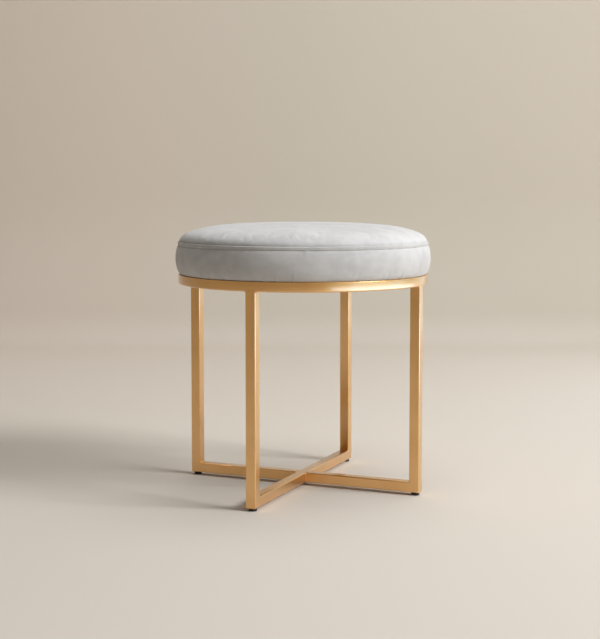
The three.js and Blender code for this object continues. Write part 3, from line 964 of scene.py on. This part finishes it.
def side_cover():
    """The side wall: a flange under the board, a rounded foot, the swelling wall and a tuck at the seam.
    Its own seam is a dip of depth * exp(-(distance / width) ** 2)."""
    turn_radius = BASE_RADIUS - BASE_TURN
    foot = arc(turn_radius, BAND_LOW[2] + BASE_TURN, BASE_TURN, 3, 4)
    tuck = arc(SEAM_RADIUS - SEAM_TUCK, BAND_HIGH[2], SEAM_TUCK, 0, 1)
    wall = evenly(np.vstack([foot, side_curve(0)[1:], tuck[1:]]), WALL_ROWS)
    flange = np.linspace([turn_radius - FLANGE_WIDTH, BAND_LOW[2]], wall[0], FLANGE_ROWS)[:-1]
    climb = gone_along(wall)
    folds = creases(climb, BASE_RADIUS, *FOOT_FOLDS)
    folds += creases(climb[::-1], SEAM_RADIUS, *SEAM_FOLDS)
    from_join = (around(AROUND_CLOTH) - JOIN_ANGLE) * SEAM_RADIUS
    folds -= JOIN_DEPTH * np.exp(-(from_join / JOIN_WIDTH) ** 2)
    cover = dressed(wall, WALL_STILL_ROWS, BAND_FULLNESS_SHARE, BAND_SEED, folds)
    lining = inward(evenly(np.vstack([flange, wall]), LINING_ROWS), COVER_THICKNESS)[::-1]
    rows = np.concatenate([turned(flange, AROUND_CLOTH), cover, turned(lining, AROUND_CLOTH)])
    return skin("side_cover", rows, loop_rows=True)


def piping():
    """The welt: a cord in its fabric, carried round the seam. The covers press it into a rounded square."""
    radius = (WELT_HIGH[2] - WELT_LOW[2]) / 2
    centre = [WELT_HIGH[0] - radius - PIPING_SET_BACK, WELT_LOW[2] + radius]
    section = centre + radius * squared_circle(AROUND_PIPING, PIPING_SQUARENESS)
    return skin("welt_piping", turned(section, AROUND_CLOTH), loop_rows=True)


def foam_core():
    """The foam: the side wall and the crown, set in by the covers and the wadding."""
    low, high = box("foam_pad")
    side = side_curve(COVER_THICKNESS + 2 * CAD_GAP)
    side = side[side[:, 1] > low[2]]
    crown = crown_curve(CROWN_HIGH[2] - high[2])[::-1]
    curve = np.vstack([[[side[0, 0], low[2]]], side[::SIDE_THINNING], crown[::CROWN_THINNING][:-1]])
    return skin("foam_core", turned(curve, AROUND_FILLING), tips=on_axis(low[2], high[2]))


def fibre_wrap():
    """The wadding: a dome of even thickness between the top panel and the foam."""
    high = box("wadding")[1][2]
    low = box("foam_pad")[1][2] + CAD_GAP
    outer, inner = (crown_curve(CROWN_HIGH[2] - top)[FIRST_KEPT::CROWN_THINNING] for top in (high, low))
    rows = turned(np.vstack([outer, inner[::-1]]), AROUND_FILLING)
    return skin("fibre_wrap", rows, tips=on_axis(high, low))


def beside_lugs(angle):
    """1 away from the lugs and 0 next to them, for each angle."""
    return smooth(*BESIDE_LUG, np.abs(angle % QUARTER - QUARTER / 2))


def dust_cover():
    """The dust cover: a disc that sags in the middle by sag * (1 - (share / reach) ** 2) ** 2, and hangs
    in shallow folds between its staples, as a cosine round the circle. It has two faces and an edge."""
    low, high = box("dust_cover")
    share = np.linspace(DUST_MIDDLE, 1, DUST_ROWS)
    angle = around(AROUND_RING)
    sag = DUST_SAG * np.maximum(1 - (share / SAG_REACH) ** 2, 0) ** 2
    hanging = smooth(*FOLDS_BEGIN, share) * (1 - smooth(*FOLDS_END, share))
    between = (0.5 - 0.5 * np.cos(angle * STAPLES)) * beside_lugs(angle)
    between *= 1 + FOLD_UNEVENNESS * ripple(angle, *FOLD_WAVES, DUST_SEED)
    faces = []
    for height in (low[2], high[2]):
        face = turned(np.stack([high[0] * share, height - sag], 1), AROUND_RING)
        face[..., 2] -= DUST_FOLD * np.outer(hanging, between)
        faces.append(face)
    rows = np.concatenate([faces[0], faces[1][::-1]])
    return skin("dust_cover_cloth", rows, tips=on_axis(low[2] - DUST_SAG, high[2] - DUST_SAG))


def staples():
    """Staples that hold the dust cover: flat wire whose crown stands out by
    height * (1 - share ** 8) and whose ends go into the cloth. Each is turned a little its own way."""
    draw = np.random.default_rng(STAPLE_SEED)
    share = np.linspace(-1, 1, STAPLE_ROWS)
    along = share * STAPLE_LENGTH / 2
    rise = STAPLE_THICKNESS * (1 - share ** 8) - STAPLE_THICKNESS / 2
    wire = squared_circle(AROUND_WIRE, WIRE_SQUARENESS)
    across, thick = STAPLE_WIDTH / 2 * wire[:, 0], STAPLE_THICKNESS / 2 * wire[:, 1]
    under = box("dust_cover")[0][2]
    made = []
    for number in range(STAPLES):
        angle = number / STAPLES * 2 * math.pi + draw.normal(0, STAPLE_SCATTER)
        turn = angle + draw.normal(0, STAPLE_LEAN)
        radius = STAPLE_RADIUS + draw.normal(0, STAPLE_DRIFT)
        if beside_lugs(angle) < 1:
            continue
        way = np.array([-math.sin(turn), math.cos(turn), 0])
        side = np.array([math.cos(turn), math.sin(turn), 0])
        middle = np.array([radius * math.cos(angle), radius * math.sin(angle), under])
        rows = (middle + along[:, None, None] * way + across[None, :, None] * side
                - (rise[:, None, None] + thick[None, :, None]) * UP)
        made.append(skin(f"staple_{number}", rows, tips=(rows[0].mean(0), rows[-1].mean(0))))
    return join("cover_staples", made)


def build_cushion(plated):
    pile = velvet("light_grey_velvet", colour(0.58, 0.577, 0.573), colour(0.675, 0.672, 0.667))
    # Painted shade: the piping's velvet is tinted darker than the side wall's, for the shade on the cord.
    cord_pile_painted_shade = velvet("light_grey_velvet_cord_painted_shade", colour(0.56, 0.557, 0.553), colour(0.65, 0.647, 0.642))
    # Painted light: the top panel's velvet is tinted lighter than the side wall's, for the light that falls
    # on the top.
    crown_pile_painted_light = velvet("light_grey_velvet_crown_painted_light", colour(0.615, 0.615, 0.613), colour(0.71, 0.709, 0.706))
    crown = fit(crown_cover(), crown_pile_painted_light, "velvet", "top_panel")
    side = fit(side_cover(), pile, "velvet", "boxing_band")
    fit(piping(), cord_pile_painted_shade, "velvet", "welt")
    core = fit(foam_core(), foam(), "foam", "foam_pad")
    wrap = fit(fibre_wrap(), fibre(), "wadding", "wadding")
    under = fit(dust_cover(), dust_cloth(), "dust_cloth", "dust_cover")
    fit(staples(), plated, "zinc_steel")


# Studio

MIRRORED_COLOUR = colour(0.345, 0.285, 0.205)    # what the gold mirrors from far away
FAR_COLOUR = colour(0.53, 0.465, 0.375)          # what the camera sees there, as pale as the wall
WORLD_COLOUR = colour(1.0, 0.90, 0.76)


def camera():
    """The camera as it was fitted to the photograph, its frame shifted to the optical row."""
    lens = bpy.data.cameras.new("camera")
    lens.sensor_width = SENSOR
    lens.lens = FOCAL_PIXELS * SENSOR / IMAGE_HEIGHT
    lens.shift_y = (OPTICAL_ROW - IMAGE_HEIGHT / 2) / IMAGE_HEIGHT
    lens.clip_start, lens.clip_end = 0.05, 60
    eye = bpy.data.objects.new("camera", lens)
    eye.location = (CAMERA_DISTANCE * math.sin(CAMERA_AZIMUTH),
                    -CAMERA_DISTANCE * math.cos(CAMERA_AZIMUTH), CAMERA_HEIGHT)
    eye.rotation_euler = (QUARTER - CAMERA_PITCH, 0, CAMERA_AZIMUTH - CAMERA_YAW)
    bpy.context.scene.collection.objects.link(eye)
    bpy.context.scene.camera = eye


def backdrop():
    """A floor that bends up into a wall behind the stool: one profile carried sideways.

    Painted light makes its paper paler at the left and towards the wall, where the lamps fall off. Far from
    the stool it is an even colour to the camera, and a deeper one in reflections. From below the camera looks
    through it.
    """
    bend = arc(SWEEP_WALL - SWEEP_BEND, SWEEP_BEND, SWEEP_BEND, -1, 0, SWEEP_STEPS)
    curve = np.vstack([[[SWEEP_FRONT, 0]], bend, [[SWEEP_WALL, SWEEP_HEIGHT]]])
    away = np.array([-math.sin(CAMERA_AZIMUTH), math.cos(CAMERA_AZIMUTH), 0])
    over = np.array([math.cos(CAMERA_AZIMUTH), math.sin(CAMERA_AZIMUTH), 0])
    across = np.linspace(-SWEEP_HALF, SWEEP_HALF, SWEEP_COLUMNS)
    rows = curve[:, :1, None] * away + curve[:, 1:, None] * UP + across[:, None] * over
    sweep = skin("backdrop", rows, loop_columns=False, solid=False)
    finish = Finish("painted_paper", Specular_IOR_Level=0.1, Roughness=0.9)
    place = finish.object_place()
    # Painted light: the paper is tinted paler at the left and towards the wall, where the lamps' light falls
    # off.
    left = 1 - finish.between(finish.toward(place, over), *PAINTED_LIGHT_LEFT)
    back = finish.between(finish.toward(place, away), *PAINTED_LIGHT_BACK)
    floor = finish.mixed((0.3 + left * 0.7) * back, colour(0.722, 0.667, 0.594), colour(0.802, 0.727, 0.642))
    wall = finish.mixed(left, colour(0.65, 0.594, 0.502), colour(0.735, 0.64, 0.543))
    finish.wear(Base_Color=finish.mixed(finish.between(finish.height_of(place), *WALL_FOOT), floor, wall))
    reach = finish.node("ShaderNodeVectorMath", {"operation": "LENGTH"},
                        {0: finish.stretched(place, (1.0, 1.0, 0.0))}, output="Value")
    far = finish.between(reach, *FAR_REACH)
    camera_ray = finish.node("ShaderNodeLightPath", output="Is Camera Ray")
    glossy_ray = finish.node("ShaderNodeLightPath", output="Is Glossy Ray")
    below = finish.node("ShaderNodeNewGeometry", output="Backfacing") * camera_ray
    surface = Signal(finish, finish.shader.outputs[0])
    mirrored = finish.node("ShaderNodeEmission", None, {"Color": MIRRORED_COLOUR})
    seen = finish.node("ShaderNodeEmission", None, {"Color": FAR_COLOUR})
    clear = finish.node("ShaderNodeBsdfTransparent")
    for share, other in ((far * glossy_ray, mirrored), (far * camera_ray, seen), (below, clear)):
        surface = finish.node("ShaderNodeMixShader", None, {0: share, 1: surface, 2: other})
    finish.feed(finish.tree.nodes["Material Output"].inputs["Surface"], surface)
    sweep.data.materials.append(finish.material)


def softbox(name, azimuth, distance, height, width, tall, power, tint, aim, mirrored_only):
    """A rectangular lamp at an azimuth round the stool, aimed at a point above its centre. A card
    that is only mirrored in the gold adds no light to cloth and floor."""
    lamp = bpy.data.lights.new(name, "AREA")
    lamp.shape, lamp.size, lamp.size_y = "RECTANGLE", width, tall
    lamp.energy, lamp.color = power, tint
    holder = bpy.data.objects.new(name, lamp)
    turn = math.radians(azimuth)
    place = np.array([distance * math.sin(turn), -distance * math.cos(turn), height])
    down = math.atan2(height - aim, distance)
    holder.location = place
    holder.rotation_euler = (QUARTER - down, 0, turn)
    holder.visible_camera = False
    holder.visible_diffuse = not mirrored_only
    bpy.context.scene.collection.objects.link(holder)


def surroundings():
    """An even dim world, which the camera sees as pale as the wall."""
    world = bpy.data.worlds.new("studio")
    bpy.context.scene.world = world
    world.use_nodes = True
    tree = world.node_tree
    light = tree.nodes["Background"]
    light.inputs["Color"].default_value = WORLD_COLOUR
    light.inputs["Strength"].default_value = WORLD_STRENGTH
    rays = tree.nodes.new("ShaderNodeLightPath")
    for ray, seen in (("Is Glossy Ray", MIRRORED_COLOUR), ("Is Camera Ray", FAR_COLOUR)):
        other, share = tree.nodes.new("ShaderNodeBackground"), tree.nodes.new("ShaderNodeMixShader")
        other.inputs["Color"].default_value = seen
        tree.links.new(rays.outputs[ray], share.inputs[0])
        tree.links.new(light.outputs[0], share.inputs[1])
        tree.links.new(other.outputs[0], share.inputs[2])
        light = share
    tree.links.new(light.outputs[0], tree.nodes["World Output"].inputs["Surface"])


def build_studio():
    camera()
    backdrop()
    surroundings()
    for name, lamp in LAMPS.items():
        softbox(name, *lamp)
    bpy.context.scene.view_settings.view_transform = "Standard"


build_studio()
build_frame()
bright_zinc = zinc()
build_fasteners(bright_zinc)
build_cushion(bright_zinc)
